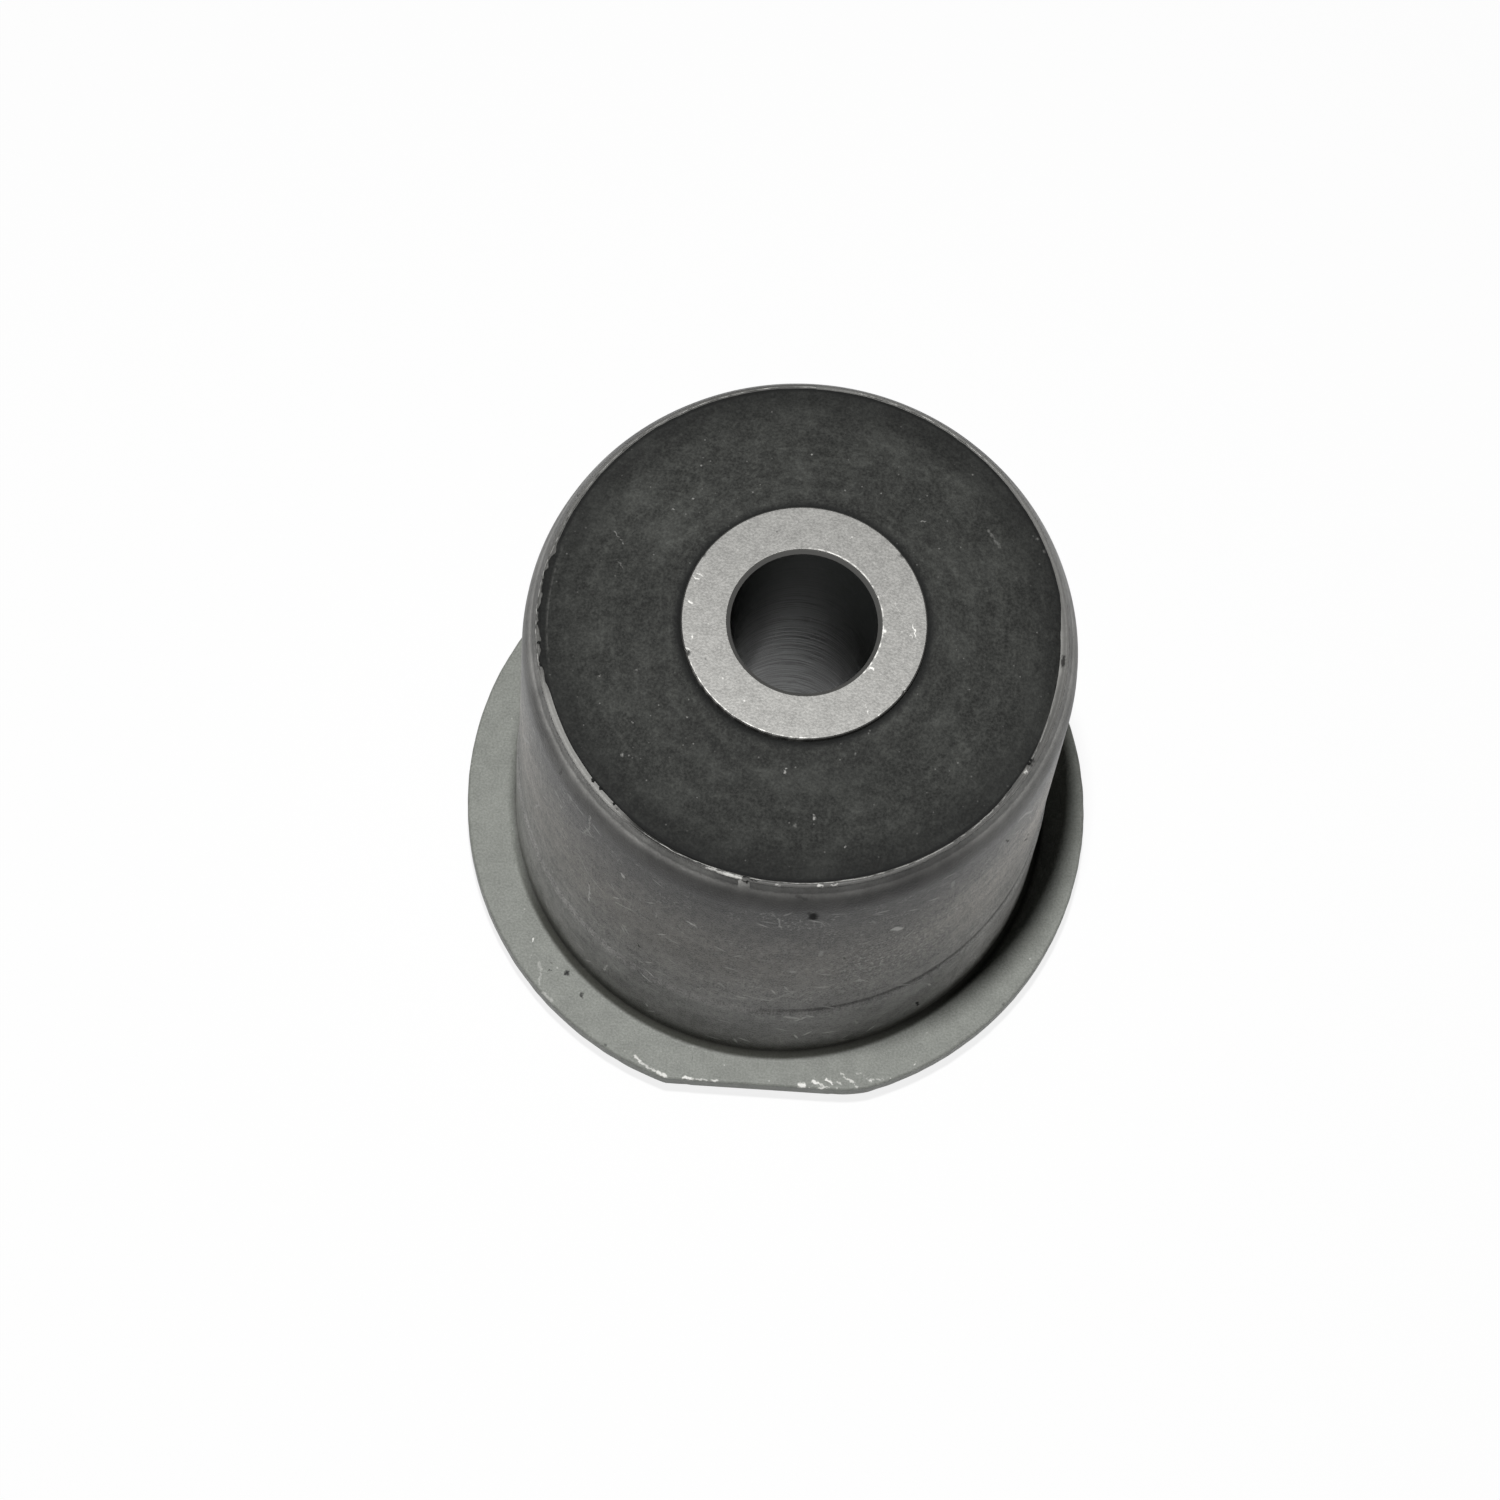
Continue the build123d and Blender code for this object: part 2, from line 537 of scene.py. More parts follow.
@dataclass(frozen=True)
class DrawnSteel:
    """Phosphated drawn steel of the outer sleeve, rubbed and scuffed, darker where it was swaged, with
    painted sheen and shade on its wall and painted shade in the bend at its foot.
    """

    flange_level: float = 0.257
    band_level: float = 0.21
    seat_level: float = 0.153
    swage_level: float = 0.062
    lip_level: float = 0.15
    bare_level: float = 0.6
    bright_level: float = 0.85
    # colour of painted glints on the flange
    glint_level: float = 0.62
    # colour of dirt, and of painted shade in the bend at the wall's foot
    soil_and_shade_level: float = 0.02
    end_level: float = 0.115
    worn_end_level: float = 0.3
    burr_level: float = 0.5
    flange_top: float = 4.0 * MM
    band_top: float = 16.7 * MM
    band_edge: float = 15.3 * MM
    swage_start: float = 44.4 * MM
    rim_top: float = 48.7 * MM
    bare_wall: tuple[Mark, ...] = (
        on_wall(
            23,
            (-135.4, 42.4, -137.4, 39.4, 0.2, 0.35), (-134, 41.4, -138.6, 39, 0.14, 0.3),
            (-145.1, 38.6, 0.5, 0.5), (-159.3, 43, 0.7, 0.4), (-142, 44.2, 0.7, 0.4),
            (-125.8, 38.7, -125.4, 38.1, 0.35, 1), (-116.8, 34.6, -116.8, 33.4, 0.2, 0.4),
            (-109.5, 36.3, -108.2, 36, 0.4, 0.8), (-65.9, 36.1, -64.5, 35.3, 0.6, 1),
            (-81.1, 33.8, -81.3, 32.8, 0.4, 0.35), (-86.4, 28.2, 0.6, 0.45),
            (-134.5, 28.2, -134.2, 26.3, 0.14, 0.7), (-134.2, 26.3, -134.3, 23.7, 0.2, 0.8),
            (-138, 32.6, -134.8, 30.5, 0.22, 0.35), (-134.8, 30.5, -131, 29.9, 0.22, 0.4),
            (-127, 29.9, -122.3, 31.2, 0.25, 0.45), (-95.8, 20.2, -90.4, 19.4, 0.3, 0.35),
            (-90.4, 19.4, -85.5, 22.4, 0.25, 0.3), (-124.4, 25.3, -123, 24, 0.25, 0.4),
            (-71.6, 23.6, -69.8, 22.4, 0.14, 0.55), (-91.3, 43.2, -90.6, 40.8, 0.18, 0.5),
            (-82.6, 42.6, -81.6, 41.2, 0.14, 0.4), (-32.8, 42.8, -29, 39.6, 0.35, 0.6),
            (-34.8, 43.2, -32.6, 42.6, 0.5, 0.5), (-53.4, 42, -53.2, 40.6, 0.4, 0.3),
            (-167.6, 31.8, -165.4, 33.6, 0.6, 0.5), (-165.4, 33.6, -162.4, 36.3, 0.4, 0.5),
            (-159, 29.7, -153.6, 28.6, 0.35, 0.45), (-157.4, 24.6, -154.6, 28.9, 0.2, 0.5),
            (-124, 17.4, -113, 18.8, 0.2, 0.3),
        )
        + on_wall(
            23.2,
            (-127.4, 11.4, -128.2, 9.3, 0.18, 0.7), (-116.8, 8.1, -116.5, 7.6, 0.2, 0.5),
            (-114.4, 13.3, 0.2, 0.6), (-86.2, 15.3, -83.9, 14.8, 0.45, 0.5),
            (-84, 14, -82.2, 15, 0.35, 0.5), (-81.6, 15.4, -80.6, 15, 0.3, 0.5),
        )
        + marks_at(
            (-135.5, 22.95, 45.5, -135.4, 23, 42.4, 0.2, 0.35),
        )
    )
    grime_wall: tuple[Mark, ...] = (
        on_wall(
            23,
            (-84.3, 44.5, -84.2, 43.5, 0.75, 1), (-85.3, 45, -85, 44.6, 0.3, 0.5),
            (-38.6, 41.3, -37.4, 39.8, 0.22, 0.7), (-28.6, 31.2, -26.6, 29.6, 0.25, 0.6),
            (-27.4, 31.6, -25.8, 30, 0.16, 0.5), (-120.3, 23, -120, 22.4, 0.2, 0.9),
            (-76, 31.2, -75.9, 30.8, 0.2, 0.8), (-134.5, 28.4, 0.22, 0.8),
        )
        + marks_at(
            (-55.7, 23.2, 8.9, -55, 23.2, 7.6, 0.28, 0.9),
            (-146.6, 22.8, 46.6, -146.3, 22.9, 45.8, 0.2, 0.5),
        )
    )
    bare_flange: tuple[Mark, ...] = on_level(
        4,
        (-145.2, 25.3, -145.7, 25.1, 0.16, 0.9), (-140.9, 25.9, -139.4, 26.2, 0.25, 0.2),
        (-138.9, 26.4, -137.2, 27.1, 0.16, 0.25), (-135.6, 27.3, -133.6, 27.3, 0.3, 0.3),
        (-109.6, 24.9, 0.1, 0.8), (-116.8, 26.75, 0.14, 0.5), (-114.8, 26.7, -113.2, 26.95, 0.22, 0.8),
        (-113, 27.05, -109, 27.2, 0.18, 0.6), (-109.4, 27.2, -107.8, 27.25, 0.28, 0.9),
        (-104.5, 26.85, -103.2, 26.75, 0.28, 1), (-103.2, 26.75, -99.8, 26.45, 0.16, 0.6),
        (-99.4, 26.45, -98.4, 26.35, 0.26, 0.9), (-82.1, 26.2, -81.8, 26.25, 0.5, 1),
        (-83.2, 26.4, -80.5, 26.55, 0.16, 0.7), (-79.8, 25.95, -79, 26.15, 0.26, 1),
        (-79, 26.15, -77.8, 26.65, 0.15, 0.7), (-79.2, 26.7, -78.2, 26.7, 0.26, 0.9),
        (-77, 26, -76.2, 26.4, 0.24, 1), (-78.2, 26.35, -77, 26.8, 0.15, 0.6),
        (-75.2, 26.3, -74.5, 26.55, 0.18, 0.5), (-75.5, 26.95, 0.22, 0.8),
        (-74.2, 25.65, -71.8, 27.15, 0.14, 0.55), (-73.2, 26.25, -72.2, 26.7, 0.24, 0.7),
        (-71.2, 26.05, -70.2, 26.1, 0.16, 0.4), (-70, 26.3, -69.2, 27, 0.13, 0.4),
        (-69, 26.9, 0.26, 0.8), (-68.8, 26.8, -66.5, 27.25, 0.12, 0.4),
        (-60.2, 27.1, -59.6, 26.8, 0.12, 0.8), (-65.4, 27.25, 0.1, 0.9),
        (-76.4, 27.1, -75.2, 27.3, 0.18, 0.9),
    )
    grime_flange: tuple[Mark, ...] = on_level(
        4,
        (-135.8, 24.45, -135.6, 24.65, 0.4, 1), (-130.4, 24.9, -130, 25.1, 0.32, 0.9),
        (-138.2, 25.5, -138.5, 25.75, 0.14, 0.8), (-139.4, 24.8, -139.2, 25.1, 0.12, 0.4),
        (-104.2, 24.8, -104, 25, 0.08, 0.5), (-120.4, 27.3, 0.3, 0.6), (-39.5, 27.3, 0.3, 0.5),
    )
    rim_spots: tuple[Mark, ...] = on_level(
        48.6,
        (-108, 21.75, -104, 21.85, 0.22, 0.6), (-104, 21.85, -100.4, 21.85, 0.34, 0.9),
        (-92.4, 21.9, -91.8, 21.9, 0.22, 1), (-83.6, 21.8, -82.8, 21.8, 0.25, 0.9),
        (-80.9, 21.85, -79.6, 21.8, 0.18, 0.7), (-30.1, 21.6, -29.6, 21.7, 0.25, 0.9),
        (-45, 21.6, -40, 21.6, 0.15, 0.5),
    )
    rim_grime: tuple[Mark, ...] = (
        on_level(
            48.6,
            (-99.6, 21.6, -96.5, 21.7, 0.2, 1), (-133, 21.5, -131, 21.6, 0.2, 0.6),
        )
        + marks_at(
            (-100, 21.55, 48.7, -98.4, 22.15, 48.3, 0.26, 1),
            (-1.6, 21.48, 48.5, -3.4, 21.5, 48.5, 0.4, 0.8),
            (-26.6, 21.6, 48.55, -27.8, 21.65, 48.55, 0.35, 0.8),
            (-88, 22.4, 47.6, -86, 22.5, 47.2, 0.35, 0.4),
        )
    )

    def _wall(self, s: Shader) -> tuple[Wire, Wire, Wire]:
        """Colour of the drawn wall with its painted sheen and shade, its grain and the dirt on it.

        Args:
            s: The material's shader.

        Returns:
            The colour, the grain and the dirt.
        """
        cloud = s.clouds(3.5 * MM, detail=5, roughness=0.65, shift=5)
        fine = s.clouds(0.16 * MM, where=s.wall, stretch=(1, 1.6, 1))
        patch = s.clouds(0.6 * MM, detail=3, where=s.wall, stretch=(1, 1.8, 1))
        hoops = s.clouds(0.22 * MM, where=s.wall, stretch=(50, 1, 1))
        calm = s.z.rise(self.swage_start - 1 * MM, self.swage_start + 1.5 * MM)
        tone = (fine - 0.5) * 0.8 + (patch - 0.5) * 0.45 + (hoops - 0.5) * 0.15
        rough = s.z.rise(11 * MM, 22 * MM) * 0.45 + s.z.rise(28 * MM, 40 * MM) * 0.35 + 0.75
        tone = 1.0 + tone * (rough - calm * 1.35) + (cloud - 0.5) * 0.5
        sized = s.z.rise(12 * MM, 30 * MM)
        base = s.mix(sized, grey(self.band_level, WARM), grey(self.seat_level, UMBER))
        top = s.z.rise(self.swage_start - 14 * MM, self.swage_start + 1 * MM)
        base = s.mix(top, base, grey(self.swage_level, WARM))
        lip = s.z.rise(self.rim_top - 2.0 * MM, self.rim_top - 0.4 * MM)
        base = s.mix(lip, base, grey(self.lip_level, WARM))
        # painted sheen where the wall turns away at the left and at the right
        sides = s.sector(-220, -140, 26) * 0.8 + s.sector(-46, 40, 12) * 0.9
        # more painted sheen at the left and right of the upper wall
        high = s.sector(-220, -162, 10) * 0.95 + s.sector(-56, 40, 8) * 0.5
        high = high + s.sector(-30, 40, 8) * 0.65
        # painted shade on the lower front of the wall
        painted_front_shade = s.sector(-126, -62, 14) * s.z.rise(20 * MM, 12 * MM)
        # painted light on the swage at the front left
        swaged = s.sector(-158, -114, 9) * s.z.rise(self.swage_start, self.swage_start + 2 * MM)
        # painted light on the lip at the front and the left
        painted_lip_light = s.sector(-154, -66, 9) * 0.35 + s.sector(-172, -106, 7) * 0.9
        # sides now sums all the painted light and shade that scales the wall's colour
        sides = sides + high * s.z.rise(20 * MM, 32 * MM) - painted_front_shade * 0.2 + swaged * 0.6 + painted_lip_light * lip
        wall = s.shade(base, tone * (1.0 + sides))
        rubbed = s.noise(2.4 * MM, detail=3, shift=11).rise(0.48, 0.7)
        speckle = s.noise(0.3 * MM, detail=3, roughness=0.7, where=s.wall, stretch=(1, 1.8, 1))
        speckle = speckle.rise(0.5, 0.68)
        rubbed = rubbed.at_least(s.sector(-78, -46, 7) * s.z.near(28 * MM, 13 * MM) * 1.3)
        scuffs_and_streak_sheen = rubbed * speckle * s.z.rise(8 * MM, 20 * MM) * 0.6
        # draw streaks, made bright only at the left where the wall turns away: partly painted highlight
        drawn = s.noise(0.5 * MM, detail=3, where=s.wall, stretch=(1, 24, 1), lean=0.12)
        drawn = drawn.rise(0.5, 0.72) * s.sector(-178, -150, 9) * s.z.rise(14 * MM, 30 * MM)
        scuffs_and_streak_sheen = scuffs_and_streak_sheen.at_least(drawn * 0.35)
        dashes = ((0.3, 1.4, 0.2), (-0.6, 1.6, 0.25), (0.95, 1.3, 0.25), (1.45, 1.5, 0.2))
        for lean, cell, share in dashes:
            grid: Grid = {"where": s.wall, "stretch": (1, 6, 1), "lean": lean, "shift": cell}
            scuffs_and_streak_sheen = scuffs_and_streak_sheen.at_least(s.specks(cell * MM, 0.15 * MM, share, flat=True, **grid) * 0.85)
        grid = {"where": s.wall, "stretch": (1, 2, 1), "shift": 3}
        smudge = s.specks(3.2 * MM, 0.45 * MM, 0.4, flat=True, **grid)
        scuffs_and_streak_sheen = scuffs_and_streak_sheen.at_least(smudge * speckle * s.z.rise(16 * MM, 26 * MM) * 0.5)
        # bare: scratches and scuffs, with the painted highlight of the draw streaks
        bare = (s.marks(self.bare_wall) * 1.3).at_least(scuffs_and_streak_sheen * (1.0 - calm))
        # brighter along the convex lower edge of the band's step, at the front
        ridge = s.z.near(self.band_edge, 0.5 * MM) * s.sector(-96, -58, 5) * speckle
        bare = bare.at_least(ridge * 0.5)
        wall = s.mix(bare, wall, grey(self.bare_level, WARM))
        # darker along the concave upper edge of the band's step, at the front and right
        witness = s.z.near(self.band_top, 0.6 * MM) * s.sector(-88, -22, 9)
        dirt = s.marks(self.grime_wall).at_least(witness * 0.5)
        dirt = dirt.at_least(s.specks(1.6 * MM, 0.12 * MM, 0.16, shift=9) * 0.8)
        wall = s.mix(dirt, wall, grey(self.soil_and_shade_level * 0.6, WARM))
        return wall, fine, dirt

    def dress(self) -> bpy.types.Material:
        """Make the material.

        Returns:
            The material.
        """
        s = Shader("drawn_steel")
        grain = s.clouds(0.2 * MM, detail=3, roughness=0.65)
        wall, wall_grain, wall_dirt = self._wall(s)
        cloud = s.clouds(1.5 * MM, detail=4, shift=6)
        tone = 1.0 + (grain - 0.5) * 0.3 + (cloud - 0.5) * 0.12
        flange = s.shade(grey(self.flange_level, GREENISH), tone)
        # painted glints scattered over the flange
        glitter = s.specks(0.8 * MM, 0.11 * MM, 0.3) * 0.7
        flange = s.mix(glitter, flange, grey(self.glint_level, WARM))
        flange = s.mix(s.marks(self.bare_flange), flange, grey(self.bright_level, WARM))
        specks = s.specks(1.7 * MM, 0.12 * MM, 0.2, shift=3) * 0.7
        soil = s.marks(self.grime_flange).at_least(specks)
        flange = s.mix(soil, flange, grey(self.soil_and_shade_level, WARM))
        upright = s.z.rise(self.flange_top + 0.1 * MM, self.flange_top + 0.9 * MM)
        colour = s.mix(upright, flange, wall)
        end_face = s.z.rise(self.rim_top - 0.5 * MM, self.rim_top - 0.2 * MM)
        end_face = end_face * s.radius.rise(22.0 * MM, 21.82 * MM)
        worn = s.sector(-164, -130, 6) + s.sector(-242, -198, 8) * 0.2
        worn = (worn + s.sector(-10, 90, 14) * 0.3) * (0.8 + grain * 0.3)
        sheared = grey(self.end_level, WARM)
        end = s.mix(s.sector(-130, -108, 5), sheared, grey(self.end_level * 0.3, WARM))
        end = s.mix(worn, end, grey(self.worn_end_level, WARM))
        colour = s.mix(end_face, colour, end)
        colour = s.mix(s.marks(self.rim_spots), colour, grey(self.bare_level, WARM))
        colour = s.mix(s.marks(self.rim_grime), colour, grey(self.soil_and_shade_level * 0.5, WARM))
        # painted shade in the bend at the wall's foot, all round but at the left
        corner = s.z.rise(self.flange_top + 4.5 * MM, self.flange_top + 0.2 * MM)
        corner = corner * s.radius.rise(24.05 * MM, 23.6 * MM) * s.sector(-160, 80, 14)
        colour = s.mix(corner * 0.8, colour, grey(self.soil_and_shade_level, OLIVE))
        normal = s.bump(s.mix(upright, grain * 0.5, wall_grain * 0.8), 0.025 * MM)
        return s.surface(
            Base_Color=colour,
            Metallic=0.0,
            Roughness=0.29 + wall_dirt * upright * 0.5,
            Specular_IOR_Level=0.1,
            Normal=normal,
        )

    def bare_steel(self) -> bpy.types.Material:
        """Make the material of a burr that is rubbed bright.

        Returns:
            The material.
        """
        s = Shader("bare_steel")
        dashes = s.streaks(0.03, s.radius, 1 * MM).rise(0.35, 0.65)
        colour = s.mix(dashes, grey(0.12, WARM), grey(self.burr_level, WARM))
        return s.surface(Base_Color=colour, Metallic=0.3, Roughness=0.4)


@dataclass(frozen=True)
class BondedRubber:
    """Black rubber of the spring, with a cloudy bloom and dust, painted shade along its edges and a
    painted highlight on its torn crease.
    """

    level: float = 0.034
    # colour of the painted shade along the rubber's edges
    edge_shade_level: float = 0.006
    # colour of dust; a third of it colours the painted highlight on the crease
    dust_and_highlight_level: float = 0.36
    sleeve: float = 10.1 * MM
    rim: float = 21.6 * MM
    dust: tuple[Mark, ...] = (
        on_level(
            48.6,
            (-147.4, 20.8, 0.18, 0.9), (26.8, 21.2, 0.3, 0.9), (23.5, 21.3, 0.3, 1),
        )
        + marks_at(
            (-140.1, 18.4, 49, 0.3, 1), (-138.8, 18, 49.1, 0.2, 0.5), (-164.9, 16.7, 49.3, 0.22, 0.6),
            (-162.3, 17.2, 49.2, 0.25, 0.6), (-94, 12.55, 50.1, -93.6, 12.8, 50.1, 0.2, 1),
            (-84.2, 16.1, 49.4, -83.8, 16.4, 49.4, 0.22, 1),
            (-76.8, 18.7, 48.9, -76.6, 18.9, 48.9, 0.2, 1), (-89, 17, 49.2, 0.4, 0.35),
            (139.7, 14.8, 49.7, 0.16, 0.8), (132.3, 14.3, 49.8, 0.14, 0.8),
            (47.3, 13.4, 49.9, 46.2, 13.7, 49.9, 0.12, 0.5), (41.2, 14.4, 49.7, 0.14, 0.5),
            (-18, 14.5, 49.7, 0.16, 0.6), (-136.7, 12.4, 50.1, 0.2, 0.6), (-146, 16.3, 49.4, 0.16, 0.6),
            (-160.7, 14.2, 49.8, 0.16, 0.5), (155, 17.6, 49.2, 157.4, 16.4, 49.4, 0.12, 0.5),
            (163, 16.2, 49.4, 165, 15.5, 49.6, 0.1, 0.3), (28, 17.9, 49.1, 34, 17.7, 49.1, 0.25, 0.3),
            (27.6, 21, 48.7, 0.2, 0.7), (-1, 12.6, 50.1, 0.12, 0.5),
        )
    )

    def dress(self) -> bpy.types.Material:
        """Make the material.

        Returns:
            The material.
        """
        s = Shader("bonded_rubber")
        grain = s.clouds(0.24 * MM, detail=4, roughness=0.7)
        mottle = s.noise(0.8 * MM, detail=3, roughness=0.65, shift=4).rise(0.42, 0.75)
        sweep = s.streaks(0.35, s.radius, 0.9 * MM, detail=4, roughness=0.65).rise(0.4, 0.75)
        cloud = s.noise(4 * MM, detail=3, roughness=0.6, shift=8).rise(0.45, 0.75)
        tone = 0.76 + (grain - 0.5) * 0.9 + mottle * 0.6 + sweep * 0.4 + cloud * 0.6
        # painted light on the back left of the rubber and painted shade on its front
        tone = tone * (1.0 + s.sector(-255, -205, 14) * 0.14 - s.sector(-135, -60, 20) * 0.1)
        colour = s.shade(grey(self.level, GREENISH), tone)
        bloom = s.specks(0.6 * MM, 0.1 * MM, 0.25) * 0.5
        bloom = bloom.at_least(s.specks(1.5 * MM, 0.12 * MM, 0.35, shift=5))
        bloom = bloom.at_least(s.marks(self.dust)) * 0.9
        colour = s.mix(bloom, colour, grey(self.dust_and_highlight_level, WARM))
        # painted shade darkening towards the rim and in the groove beside the sleeve; the strip along
        # the torn edge at the back is near-black too
        edge = s.radius.rise(self.rim - 4.6 * MM, self.rim) * 0.6
        edge = edge.at_least(s.radius.rise(self.rim - 0.7 * MM, self.rim - 0.2 * MM) * 0.92)
        behind = s.sector(-197, -166, 2)
        torn = behind * s.radius.rise(self.rim - 0.55 * MM, self.rim - 0.4 * MM) * 0.75
        edge = (edge * (1.0 - behind * 0.4)).at_least(torn)
        edge = edge.at_least(s.radius.rise(self.sleeve + 0.9 * MM, self.sleeve + 0.15 * MM) * 0.9)
        colour = s.mix(edge, colour, grey(self.edge_shade_level, COOL))
        # painted highlight along the crease inside the torn edge at the back
        dashes = s.streaks(0.03, s.radius, 1 * MM).rise(0.4, 0.6)
        crease_highlight = behind * s.radius.near(self.rim - 0.62 * MM, 0.12 * MM) * dashes
        colour = s.mix(crease_highlight * 0.4, colour, grey(self.dust_and_highlight_level / 3, WARM))
        normal = s.bump(grain * 0.6 + mottle * 0.8, 0.05 * MM)
        return s.surface(Base_Color=colour, Roughness=0.8, Specular_IOR_Level=0.3, Normal=normal)


# ---------------------------------------------------------------- shapes

WELD = 0.001 * MM
HOLD = 0.03 * MM  # distance of the points that hold a run flat next to its rounded ends
ARC_STEP = math.radians(8.0)
STRIPS = 24  # strips of the turn that a section is spun in


@dataclass(frozen=True)
class Corner:
    """One corner of a turned section, and the run that leaves it."""

    radius: float
    height: float
    rounding: float = 0.0
    cuts: int = 0

    @property
    def point(self) -> Vector:
        """The corner in the XZ plane."""
        return Vector((self.radius, 0.0, self.height))


@dataclass(frozen=True)
class Profile:
    """A size given at a few angles round the axis, from -180 to 180, and blended between them."""

    knots: tuple[tuple[float, float], ...]

    @classmethod
    def of(cls, unit: float, *knots: tuple[float, float]) -> "Profile":
        """Profile from angles and sizes in a unit."""
        return cls(tuple((degrees, size * unit) for degrees, size in knots))

    def value(self, degrees: float) -> float:
        """Size at an angle.

        Args:
            degrees: The angle.

        Returns:
            The size, blended between the knots on either side.
        """
        for (before, low), (after, high) in zip(self.knots, self.knots[1:]):
            if degrees <= after:
                share = (degrees - before) / (after - before)
                return low + (high - low) * share * share * (3 - 2 * share)
        return self.knots[-1][1]


@dataclass(frozen=True)
class Dent:
    """A nick or dent, pressed against the normals of a surface."""

    place: Vector
    reach: float
    depth: float


def turn_of(place: Vector) -> float:
    """Angle of a place round the axis, from -180 to 180 degrees."""
    return math.degrees(math.atan2(place.y, place.x))


def outwards(place: Vector) -> Vector:
    """Level unit vector from the axis towards a place."""
    return Vector((place.x, place.y, 0.0)).normalized()


def stray(place: Vector, size: float) -> float:
    """Smooth random value from about -1 to 1 at a place, over clouds of a size."""
    return noise.noise(place / size)


def press(mesh: bmesh.types.BMesh, dents: tuple[Dent, ...]) -> None:
    """Move a surface against its normals round each dent.

    Args:
        mesh: The mesh. The outer sleeve's normals point inwards, so that its dents stand out.
        dents: The dents.
    """
    mesh.normal_update()
    for dent in dents:
        for vert in mesh.verts:
            gap = (vert.co - dent.place).length / dent.reach
            if gap < 1.0:
                vert.co -= vert.normal * dent.depth * (1.0 - gap * gap) ** 2


class Section:
    """A closed section drawn in the XZ plane as a chain of edges, and spun about Z."""

    def __init__(self, corners: list[Corner]) -> None:
        """Draw the section.

        Args:
            corners: Its corners in order.
        """
        self.mesh = bmesh.new()
        before, after = corners[-1:] + corners[:-1], corners[1:] + corners[:1]
        bends = [self._bend(*three) for three in zip(before, corners, after)]
        self.tip = self.mesh.verts.new(bends[0][1])
        for (*_, cuts), bend in zip(bends, bends[1:] + bends[:1]):
            self._run(bend[0], cuts)
            self._arc(bend)
        bmesh.ops.remove_doubles(self.mesh, verts=self.mesh.verts[:], dist=WELD)

    @staticmethod
    def _bend(before: Corner, corner: Corner, after: Corner) -> tuple:
        """Work out the arc that rounds a corner.

        Args:
            before: The corner before it.
            corner: The corner.
            after: The corner after it.

        Returns:
            The arc's start, end, centre and angle, and the cuts in the run that follows it.
        """
        arrive = (corner.point - before.point).normalized()
        depart = (after.point - corner.point).normalized()
        angle = math.atan2(arrive.x * depart.z - arrive.z * depart.x, arrive.dot(depart))
        reach = corner.rounding * math.tan(abs(angle) / 2)
        start = corner.point - arrive * reach
        inward = Vector((-arrive.z, 0.0, arrive.x)) * math.copysign(corner.rounding, angle)
        return start, corner.point + depart * reach, start + inward, angle, corner.cuts

    def _run(self, end: Vector, cuts: int) -> None:
        """Draw a straight run with holding points near its ends and even cuts between them.

        Args:
            end: End of the run.
            cuts: Number of the even cuts.
        """
        start = self.tip.co.copy()
        run = end - start
        hold = min(HOLD / run.length, 1 / 3)
        shares = [hold, *(k / (cuts + 1) for k in range(1, cuts + 1)), 1 - hold, 1.0]
        for share in shares:
            made = bmesh.ops.extrude_vert_indiv(self.mesh, verts=[self.tip])
            self.tip = made["verts"][0]
            self.tip.co = start + run * share

    def _arc(self, bend: tuple) -> None:
        """Draw the arc of a rounded corner.

        Args:
            bend: The arc, as _bend gives it.
        """
        start, end, centre, angle, _ = bend
        if (end - start).length < WELD:
            return
        spun = bmesh.ops.spin(
            self.mesh,
            geom=[self.tip],
            cent=centre,
            axis=(0.0, -1.0, 0.0),
            angle=angle,
            steps=max(2, math.ceil(abs(angle) / ARC_STEP)),
        )
        self.tip = next(v for v in spun["geom_last"] if isinstance(v, bmesh.types.BMVert))

    def spin(self, steps: int) -> bmesh.types.BMesh:
        """Turn the section into a closed ring, one strip at a time.

        Args:
            steps: Steps of the full turn, a multiple of STRIPS.

        Returns:
            The ring, with its faces turned one way: inwards on the outer sleeve, else outwards.
        """
        strip = FULL_TURN / STRIPS
        axis = {"cent": (0.0, 0.0, 0.0), "axis": (0.0, 0.0, 1.0)}
        chain = self.mesh.verts[:] + self.mesh.edges[:]
        bmesh.ops.spin(self.mesh, geom=chain, angle=strip, steps=steps // STRIPS, **axis)
        bmesh.ops.spin(
            self.mesh,
            geom=self.mesh.verts[:] + self.mesh.edges[:] + self.mesh.faces[:],
            angle=FULL_TURN - strip,
            steps=STRIPS - 1,
            use_duplicate=True,
            **axis,
        )
        bmesh.ops.remove_doubles(self.mesh, verts=self.mesh.verts[:], dist=WELD)
        bmesh.ops.recalc_face_normals(self.mesh, faces=self.mesh.faces[:])
        return self.mesh


def add_object(name: str, data: bpy.types.ID) -> bpy.types.Object:
    """Make an object of the scene.

    Args:
        name: Its name.
        data: Its mesh, lamp or camera.

    Returns:
        The object.
    """
    made = bpy.data.objects.new(name, data)
    bpy.context.scene.collection.objects.link(made)
    return made


def add_mesh(name: str, mesh: bmesh.types.BMesh, material: bpy.types.Material) -> bpy.types.Object:
    """Turn a finished bmesh into an object with one material.

    Args:
        name: Its name.
        mesh: The bmesh, which is freed.
        material: Its material.

    Returns:
        The object.
    """
    data = bpy.data.meshes.new(name)
    mesh.to_mesh(data)
    mesh.free()
    data.materials.append(material)
    return add_object(name, data)


